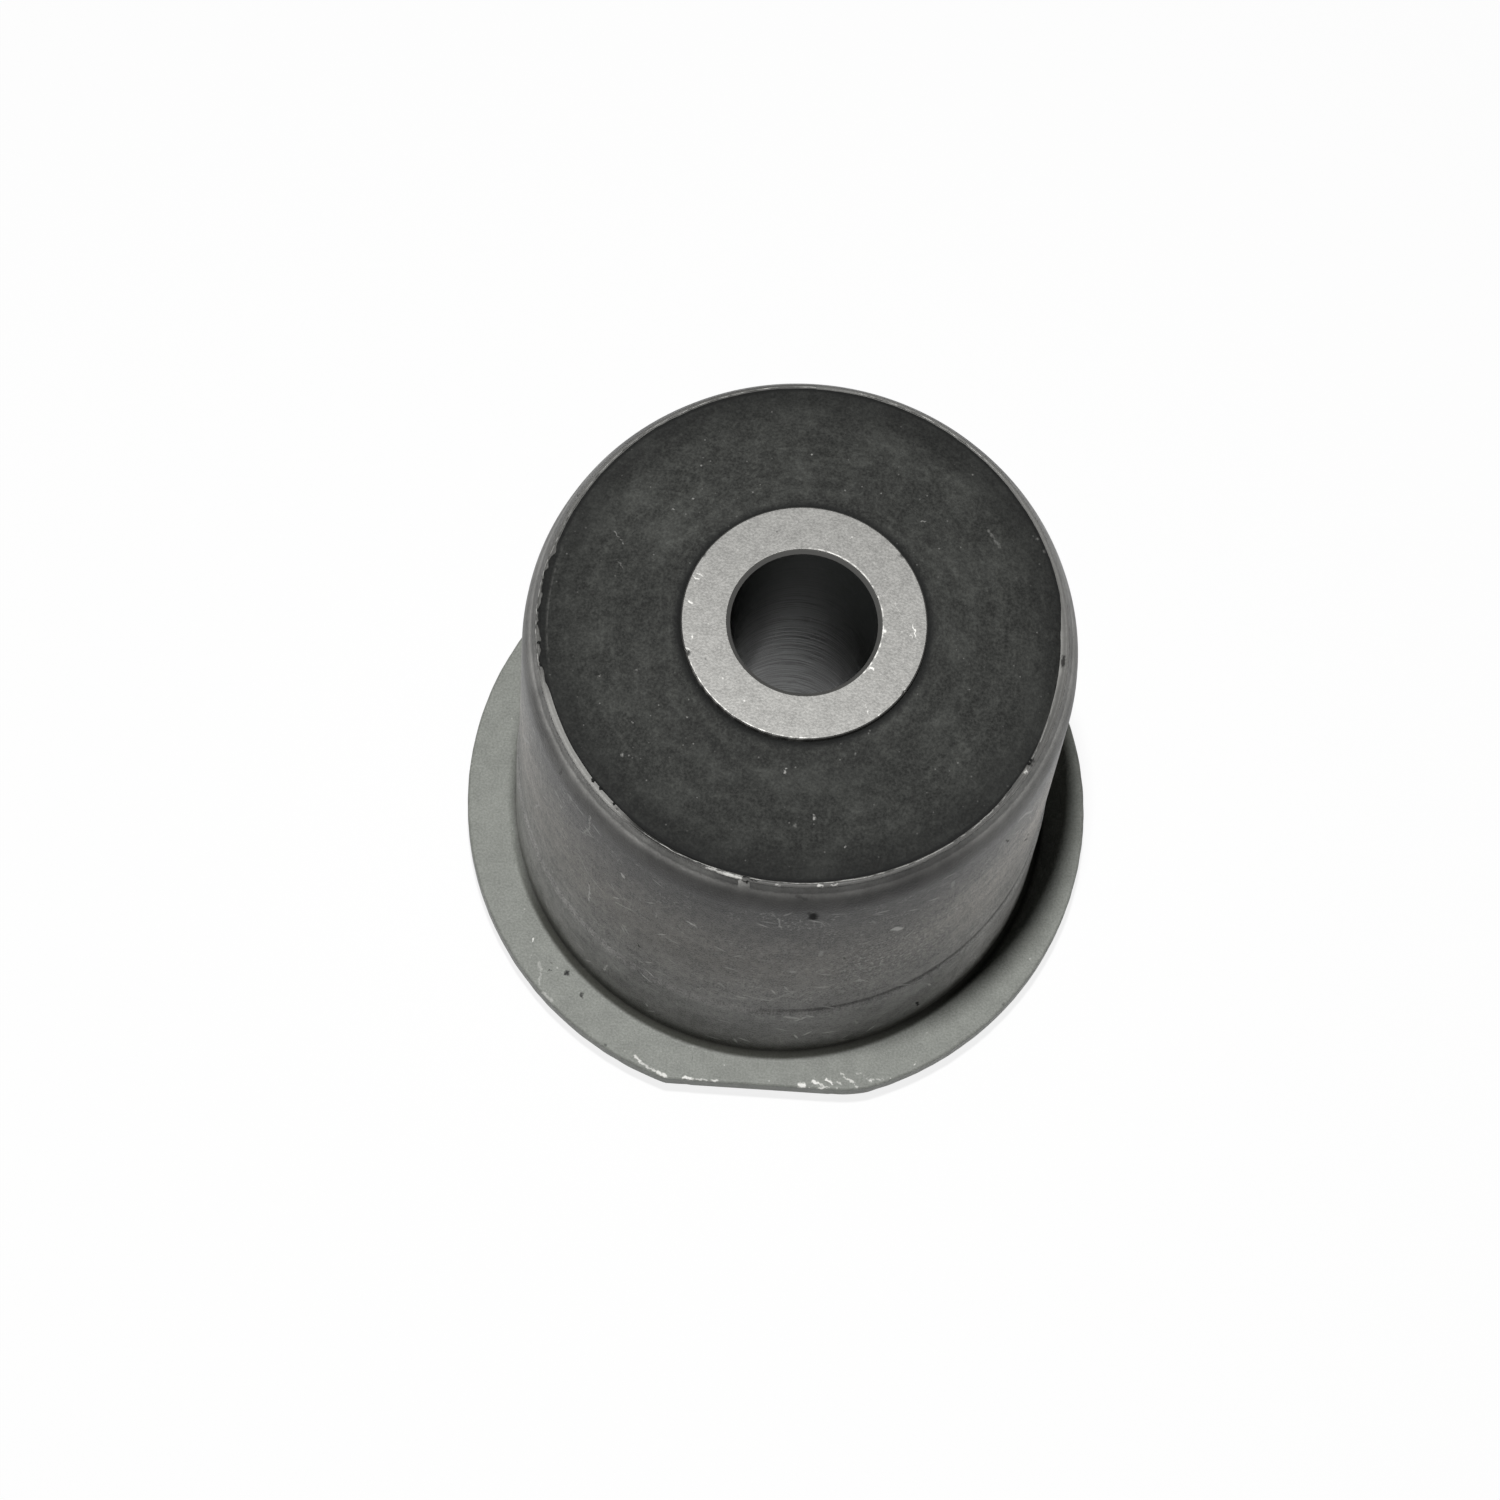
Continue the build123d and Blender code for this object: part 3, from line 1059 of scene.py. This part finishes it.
@dataclass(frozen=True)
class Piece:
    """Names of a finished mesh: it is published under the first and hides the CAD node; the slot is not
    used.
    """

    name: str
    slot: Slot
    node: str | None = None  # CAD node that it stands for

    def publish(self, mesh: bmesh.types.BMesh, material: bpy.types.Material) -> bpy.types.Object:
        """Turn a finished bmesh into a piece of the object.

        Args:
            mesh: The finished shape, in place.
            material: Its finish.

        Returns:
            The piece.
        """
        made = add_mesh(self.name, mesh, material)
        made.data.shade_smooth()
        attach(made, "root")
        if self.node:
            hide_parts(self.node)
        LOG.info("%s: %d faces", self.name, len(made.data.polygons))
        return made


@dataclass(frozen=True)
class InnerSleeve:
    """Thick turned tube, clamped end to end by the bolt."""

    radius: float
    length: float
    bore: float = 6.05 * MM
    bore_chamfer: float = 0.35 * MM
    edge_break: float = 0.1 * MM
    face_cuts: int = 24
    steps: int = 720
    dents: tuple[Dent, ...] = (
        Dent(at(-160.9, 10.08, 51.0), 0.38 * MM, 0.16 * MM),
        Dent(at(-32.7, 10.12, 51.0), 0.26 * MM, 0.1 * MM),
        Dent(at(40.0, 10.12, 51.0), 0.25 * MM, 0.05 * MM),
        Dent(at(148.0, 10.12, 51.0), 0.3 * MM, 0.05 * MM),
    )

    def build(self, finish: TurnedSteel) -> bpy.types.Object:
        """Make and dress the tube.

        Args:
            finish: Its finish.

        Returns:
            The piece.
        """
        soft = 0.04 * MM
        mouth = self.bore + self.bore_chamfer
        face = self.radius - self.edge_break
        top = self.length
        mesh = Section(
            [
                Corner(self.bore, self.bore_chamfer, soft),
                Corner(mouth, 0.0, soft),
                Corner(face, 0.0, soft),
                Corner(self.radius, self.edge_break, soft),
                Corner(self.radius, top - self.edge_break, soft),
                Corner(face, top, soft, self.face_cuts),
                Corner(mouth, top, soft),
                Corner(self.bore, top - self.bore_chamfer, soft),
            ]
        ).spin(self.steps)
        press(mesh, self.dents)
        piece = Piece("inner_sleeve_turned", Slot.TURNED_STEEL, "inner_sleeve")
        return piece.publish(mesh, finish.dress())


@dataclass(frozen=True)
class SwagedRim:
    """Place and lean of the sheared end at the top of the outer sleeve."""

    outer: Vector  # outer corner in the XZ plane
    along: Vector  # unit vector from the inner corner to the outer one
    shown: Profile = Profile.of(
        MM,
        (-180, -0.05), (-168, 0), (-164.5, 0.24), (-161, 0.4), (-135, 0.34), (-120, 0.12), (-90, 0.22),
        (-75, 0.28), (-45, 0.15), (-30, 0.33), (-12, 0.56), (2, 0.56), (15, 0.2), (163, 0.17), (169, 0),
        (180, -0.05),
    )  # metal left bare outside the rubber
    waver: float = 0.035 * MM
    ring: float = 21.6 * MM  # radius at which random values are taken round the rim

    @property
    def out(self) -> Vector:
        """Unit vector out of the sheared end."""
        return Vector((-self.along.z, 0.0, self.along.x))

    def depth(self, place: Vector) -> float:
        """How much metal is bare in the direction of a point.

        Args:
            place: The point.

        Returns:
            Width of the bare metal, less than 0 where the rubber runs over it.
        """
        ring = outwards(place) * self.ring
        bare = self.shown.value(turn_of(place)) + stray(ring, 0.9 * MM) * self.waver
        return bare + stray(ring, 3.1 * MM) * self.waver

    def shift(self, vert: bmesh.types.BMVert, along: float, out: float) -> None:
        """Move a vertex along the sheared end and out of it."""
        step = self.along * along + self.out * out
        vert.co += outwards(vert.co) * step.x + Vector((0.0, 0.0, step.z))


@dataclass(frozen=True)
class OuterSleeve:
    """Drawn sheet sleeve with a flange at its foot and a swaged rim at its top."""

    flange_radius: float
    foot: float
    top: float
    flat: float  # distance of the flat from the axis
    seat: float = 23.0 * MM
    sheet: float = 1.7 * MM
    band_height: float = 12.9 * MM
    band_step: float = 0.2 * MM
    band_taper: float = 1.2 * MM
    bend: float = 0.8 * MM
    swage_length: float = 4.3 * MM
    swage_in: float = 1.2 * MM
    edge_round: float = 0.25 * MM
    step_round: float = 0.4 * MM
    swage_ease: float = 0.93  # share of the swage's radius that keeps its cuts inside the arc
    uneven: float = 0.035 * MM
    worn_corner: float = 0.5 * MM  # how far from the flat's right corner its edge is rounded off
    burr: float = 0.04 * MM  # radius of the burr at the rubber's edge
    burr_gap: Profile = Profile.of(
        1,
        (-180, 1), (-122, 1), (-114, 0), (-45, 0), (-34, 0.3), (-10, 0.4), (-4, 1), (40, 1), (60, 0),
        (180, 0),
    )  # 1 where the burr is rubbed away
    steps: int = 720
    dents: tuple[Dent, ...] = (
        Dent(at(-99.3, 21.8, 48.6), 0.34 * MM, 0.2 * MM),
        Dent(at(-98.5, 22.1, 48.3), 0.3 * MM, 0.12 * MM),
        Dent(at(-65.0, 23.0, 35.7), 0.8 * MM, 0.02 * MM),
        Dent(at(-135.7, 24.6, 4.0), 0.3 * MM, 0.04 * MM),
        Dent(at(-76.0, 27.3, 4.0), 0.4 * MM, 0.03 * MM),
        Dent(at(-120.3, 27.4, 4.0), 0.4 * MM, 0.04 * MM),
    )

    @property
    def rim(self) -> SwagedRim:
        """Sheared end of the swage."""
        along = Vector((math.cos(self.swage_angle), 0.0, math.sin(self.swage_angle)))
        return SwagedRim(Vector((self.seat - self.swage_in, 0.0, self.top)), along)

    @property
    def swage_angle(self) -> float:
        """Angle of the swage's arc, which is tangent to the seat."""
        return 2 * math.atan2(self.swage_in, self.swage_length)

    def build(self, finish: DrawnSteel) -> bpy.types.Object:
        """Make and dress the sleeve.

        Args:
            finish: Its finish.

        Returns:
            The piece.
        """
        band = self.seat + self.band_step
        wall = self.sheet - self.band_step
        flange_top = self.foot + self.sheet
        band_top = flange_top + self.band_height
        swage_round = self.swage_length / math.sin(self.swage_angle)
        swage_start = self.top - self.swage_length
        swage_corner = swage_start + swage_round * math.tan(self.swage_angle / 2)
        rim_out = self.rim.outer
        rim_in = rim_out - self.rim.along * wall
        corners = [
            Corner(self.seat, swage_corner, swage_round * self.swage_ease, 8),
            Corner(self.seat, band_top, self.step_round, 2),
            Corner(band, band_top - self.band_taper, self.step_round, 4),
            Corner(band, flange_top, self.bend, 12),
            Corner(self.flange_radius, flange_top, self.edge_round),
            Corner(self.flange_radius, self.foot, self.edge_round),
            Corner(band - self.sheet, self.foot, self.bend + self.sheet),
            Corner(self.seat - wall, swage_start),
            Corner(rim_in.x, rim_in.z, cuts=6),
            Corner(rim_out.x, rim_out.z, self.edge_round, 8),
        ]
        mesh = Section(corners).spin(self.steps)
        self._shear_flat(mesh)
        self._wear_rim(mesh)
        press(mesh, self.dents)
        material = finish.dress()
        self._burr(finish)
        return Piece("outer_sleeve_drawn", Slot.DRAWN_STEEL, "outer_sleeve").publish(mesh, material)

    def _edge_radius(self, place: Vector) -> float:
        """Radius of the flange's edge, with the flat cut across it, in the direction of a point.

        Args:
            place: The point.

        Returns:
            The radius.
        """
        across = place.x / -place.y if place.y < 0 else math.inf
        chord = self.flat * math.hypot(1.0, across)
        worn = self.worn_corner if across > 0 else 0.0
        gap = max(0.0, 1.0 - abs(chord - self.flange_radius) / worn) if worn else 0.0
        return min(chord, self.flange_radius) - worn / 4 * gap**2

    def _shear_flat(self, mesh: bmesh.types.BMesh) -> None:
        """Draw the flange's edge in to the flat that is sheared across it.

        Args:
            mesh: The sleeve.
        """
        start = self.seat + self.bend + self.band_step + HOLD
        edge = self.flange_radius - self.edge_round
        for vert in mesh.verts:
            radius = vert.co.xy.length
            if radius > start and vert.co.y < 0:
                share = min(1.0, (radius - start) / (edge - start))
                drawn_in = (self.flange_radius - self._edge_radius(vert.co)) * share
                vert.co.xy *= 1.0 - drawn_in / radius

    def _wear_rim(self, mesh: bmesh.types.BMesh) -> None:
        """Make the sheared end and the edge of the flange slightly uneven.

        Args:
            mesh: The sleeve.
        """
        for vert in mesh.verts:
            radius = vert.co.xy.length
            share = (vert.co.z - self.top) / (1.0 * MM) + 1.2
            if share > 0.0 and radius > self.seat - self.sheet:
                fall = self.uneven * (1.0 + stray(vert.co, 0.8 * MM) + stray(vert.co, 3 * MM))
                vert.co.z -= max(0.0, fall) * min(1.0, share)
            if radius > self.flange_radius - 0.6 * MM:
                vert.co.xy *= 1.0 - self.uneven * (1.0 + stray(vert.co, 1.2 * MM)) / radius

    def _burr(self, finish: DrawnSteel) -> None:
        """Make the thin burr that stands along the rubber's edge.

        Args:
            finish: Finish of the sleeve, which has the burr's material.
        """
        rim = self.rim
        size = self.burr
        around = ((size, 0.0), (0.0, size), (-size, 0.0), (0.0, -size))
        corners = [Corner(rim.outer.x + out, rim.outer.z + up) for out, up in around]
        mesh = Section(corners).spin(self.steps)
        for vert in mesh.verts:
            ring = outwards(vert.co) * rim.ring
            bare = rim.depth(vert.co)
            gap = self.burr_gap.value(turn_of(vert.co))
            hidden = max(0.0, 1.0 - max(0.0, bare) / (0.12 * MM), gap)
            sunk = max(hidden, stray(ring, 1.1 * MM) + stray(ring, 4.0 * MM) + 0.15, 0.0)
            rim.shift(vert, -bare, -sunk * size * 2.5)
            vert.co.z = min(vert.co.z, self.top)
        Piece("rim_burr", Slot.DRAWN_STEEL).publish(mesh, finish.bare_steel())


@dataclass(frozen=True)
class RubberSpring:
    """Rubber that fills the room between the two sleeves."""

    inner: float
    bottom: float
    top: float
    rim: SwagedRim
    cavity: float = 21.5 * MM
    wall: float = 1.5 * MM
    shown: float = 0.25 * MM  # mean width of bare metal on the rim
    foot: float = 4.8 * MM
    swage_start: float = 44.4 * MM
    groove: float = 0.22 * MM  # drop beside the inner sleeve
    groove_width: float = 0.45 * MM
    lump: float = 0.05 * MM
    crease: float = 21.25 * MM  # radius of the crease inside the torn edge
    flash: float = 0.09 * MM  # thickness where the rubber runs over the rim
    flash_tear: float = 0.5 * MM
    crease_depth: float = 0.12 * MM
    crease_width: float = 0.2 * MM
    torn_from: float = 162.0  # angle past which the edge is torn, on both sides of the back
    crumbs: tuple[tuple[Vector, float], ...] = (
        (at(-27.8, 21.5, 48.55), 0.14 * MM),
        (at(-26.9, 21.5, 48.52), 0.1 * MM),
        (at(-139.5, 21.5, 48.58), 0.16 * MM),
        (at(-137.0, 21.45, 48.55), 0.14 * MM),
        (at(-132.5, 21.5, 48.55), 0.12 * MM),
        (at(172.0, 21.65, 48.56), 0.18 * MM),
        (at(174.5, 21.6, 48.56), 0.15 * MM),
        (at(179.0, 21.68, 48.54), 0.18 * MM),
        (at(-178.0, 21.68, 48.54), 0.16 * MM),
        (at(-173.5, 21.68, 48.54), 0.16 * MM),
        (at(-168.5, 21.65, 48.56), 0.18 * MM),
    )  # places and radii
    steps: int = 720

    def build(self, finish: BondedRubber) -> bpy.types.Object:
        """Make and dress the rubber, and the crumbs that are left on the rim.

        Args:
            finish: Their finish.

        Returns:
            The rubber.
        """
        inside = self.rim.outer - self.rim.along * self.wall
        edge = self.rim.outer - self.rim.along * self.shown
        corners = [
            Corner(self.inner, self.bottom),
            Corner(self.cavity, self.foot),
            Corner(self.cavity, self.swage_start),
            Corner(inside.x, inside.z, 0.0, 3),
            Corner(edge.x, edge.z, 0.06 * MM, 70),
            Corner(self.inner, self.top),
        ]
        mesh = Section(corners).spin(self.steps)
        self._flow(mesh, edge)
        material = finish.dress()
        self._crumbs(material)
        return Piece("rubber_spring", Slot.BONDED_RUBBER, "rubber_element").publish(mesh, material)

    def _crumbs(self, material: bpy.types.Material) -> None:
        """Make the torn crumbs that cling to the rim.

        Args:
            material: Their material.
        """
        mesh = bmesh.new()
        for place, size in self.crumbs:
            put = Matrix.Translation(place)
            made = bmesh.ops.create_icosphere(mesh, subdivisions=4, radius=size, matrix=put)
            for vert in made["verts"]:
                away = vert.co - place
                vert.co = place + away * (1.0 + 0.6 * stray(vert.co, size * 0.8))
        Piece("rubber_crumbs", Slot.BONDED_RUBBER).publish(mesh, material)

    def _flow(self, mesh: bmesh.types.BMesh, edge: Vector) -> None:
        """Let the moulded top sink beside the sleeve, ripple, and end unevenly on the rim.

        Args:
            mesh: The rubber.
            edge: Place in the XZ plane where it ends on the rim.
        """
        for vert in mesh.verts:
            if vert.co.z < self.swage_start + 1 * MM:
                continue
            radius = vert.co.xy.length
            beside = max(0.0, 1.0 - (radius - self.inner) / self.groove_width)
            ripple = stray(vert.co, 2.4 * MM) + 0.5 * stray(vert.co, 0.9 * MM)
            calm = min(1.0, (edge.x - radius) / (0.8 * MM)) if radius < edge.x else 0.0
            vert.co.z -= self.groove * beside**1.5 + self.lump * (1.0 + ripple) * calm
            torn = max(0.0, 1.0 - abs(radius - self.crease) / self.crease_width)
            behind = max(0.0, min(1.0, (abs(turn_of(vert.co)) - self.torn_from) / 5.0))
            vert.co.z -= self.crease_depth * torn * behind
            reach = 1.0 - (edge.x - radius) / (0.7 * MM)
            if reach > 0.0:
                share = min(1.0, reach) ** 0.7
                bare = self.rim.depth(vert.co)
                ragged = behind * self.flash_tear * stray(vert.co, 0.7 * MM)
                along = (self.shown - bare + ragged) * share
                self.rim.shift(vert, along, behind * self.flash * share)


# ---------------------------------------------------------------- studio


@dataclass(frozen=True)
class Viewpoint:
    """Camera on the line from a target, turned about its own axis."""

    target: Vector = Vector((-3.15 * MM, -2.34 * MM, 24.63 * MM))
    distance: float = 513.9 * MM
    azimuth: float = math.radians(-94.273)
    elevation: float = math.radians(71.158)
    roll: float = math.radians(7.889)
    lens: float = 144.0
    sensor: float = 36.0

    def place(self) -> None:
        """Make the camera and give it to the scene."""
        away = Vector(
            (
                math.cos(self.elevation) * math.cos(self.azimuth),
                math.cos(self.elevation) * math.sin(self.azimuth),
                math.sin(self.elevation),
            )
        )
        level = Vector((0.0, 0.0, 1.0)).cross(away).normalized()
        upright = away.cross(level)
        right = level * math.cos(self.roll) + upright * math.sin(self.roll)
        up = away.cross(right)
        data = bpy.data.cameras.new("camera")
        data.lens = self.lens
        data.sensor_width = self.sensor
        data.clip_start = 0.01
        data.clip_end = 50.0
        camera = add_object("camera", data)
        turned = Matrix((right, up, away)).transposed().to_4x4()
        camera.matrix_world = Matrix.Translation(self.target + away * self.distance) @ turned
        bpy.context.scene.camera = camera


@dataclass(frozen=True)
class Studio:
    """A compact lamp high over the object, a weak even sky and a white floor."""

    lamp_place: Vector = Vector((-23.5 * MM, -25.2 * MM, 511.0 * MM))
    lamp_width: float = 30 * MM
    lamp_power: float = 2.5
    sky: float = 0.015
    floor_size: float = 8.0
    floor_level: float = 0.74
    floor_glow: float = 1.06
    glow_share: float = 0.8
    floor_gap: float = 0.02 * MM  # keeps the floor clear of the lower end face

    def build(self) -> None:
        """Light the object and lay the floor."""
        scene = bpy.context.scene
        scene.view_settings.view_transform = "Standard"
        world = bpy.data.worlds.new("sky")
        world.use_nodes = True
        background = world.node_tree.nodes["Background"]
        background.inputs["Color"].default_value = grey(1.0)
        background.inputs["Strength"].default_value = self.sky
        scene.world = world
        lamp = bpy.data.lights.new("lamp", "AREA")
        lamp.shape = "DISK"
        lamp.size = self.lamp_width
        lamp.energy = self.lamp_power
        holder = add_object("lamp", lamp)
        holder.location = self.lamp_place
        holder.rotation_euler = self.lamp_place.to_track_quat("Z", "Y").to_euler()
        self._floor()

    def _floor(self) -> None:
        """Lay a plain floor that shows white to the camera and keeps its shadow."""
        s = Shader("floor_white")
        path = s.node("ShaderNodeLightPath", output="Is Camera Ray")
        seen = path.at_least(path.also("Is Transmission Ray"))
        matt = s.node("ShaderNodeBsdfDiffuse", inputs={"Color": grey(self.floor_level)})
        glow = s.node("ShaderNodeEmission", inputs={"Color": grey(1.0), "Strength": self.floor_glow})
        both = s.node("ShaderNodeMixShader", inputs={0: seen * self.glow_share, 1: matt, 2: glow})
        mesh = bmesh.new()
        low = Matrix.Translation((0.0, 0.0, -self.floor_gap))
        bmesh.ops.create_grid(mesh, x_segments=1, y_segments=1, size=self.floor_size / 2, matrix=low)
        add_mesh("floor", mesh, s.close(both))


def main() -> None:
    """Build the bush, dress it and light it."""
    logging.basicConfig(level=logging.INFO, format="%(name)s: %(message)s")
    _, inner_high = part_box("inner_sleeve")
    outer_low, outer_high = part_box("outer_sleeve")
    rubber_low, rubber_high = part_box("rubber_element")
    Viewpoint().place()
    Studio().build()
    sleeve = OuterSleeve(
        flange_radius=outer_high.y,
        foot=outer_low.z,
        top=inner_high.z - outer_low.z,
        flat=-outer_low.y - WELD,
    )
    InnerSleeve(radius=inner_high.x, length=inner_high.z - WELD).build(TurnedSteel())
    sleeve.build(DrawnSteel())
    RubberSpring(
        inner=inner_high.x, bottom=rubber_low.z, top=rubber_high.z, rim=sleeve.rim
    ).build(BondedRubber())


if __name__ == "__main__":
    main()
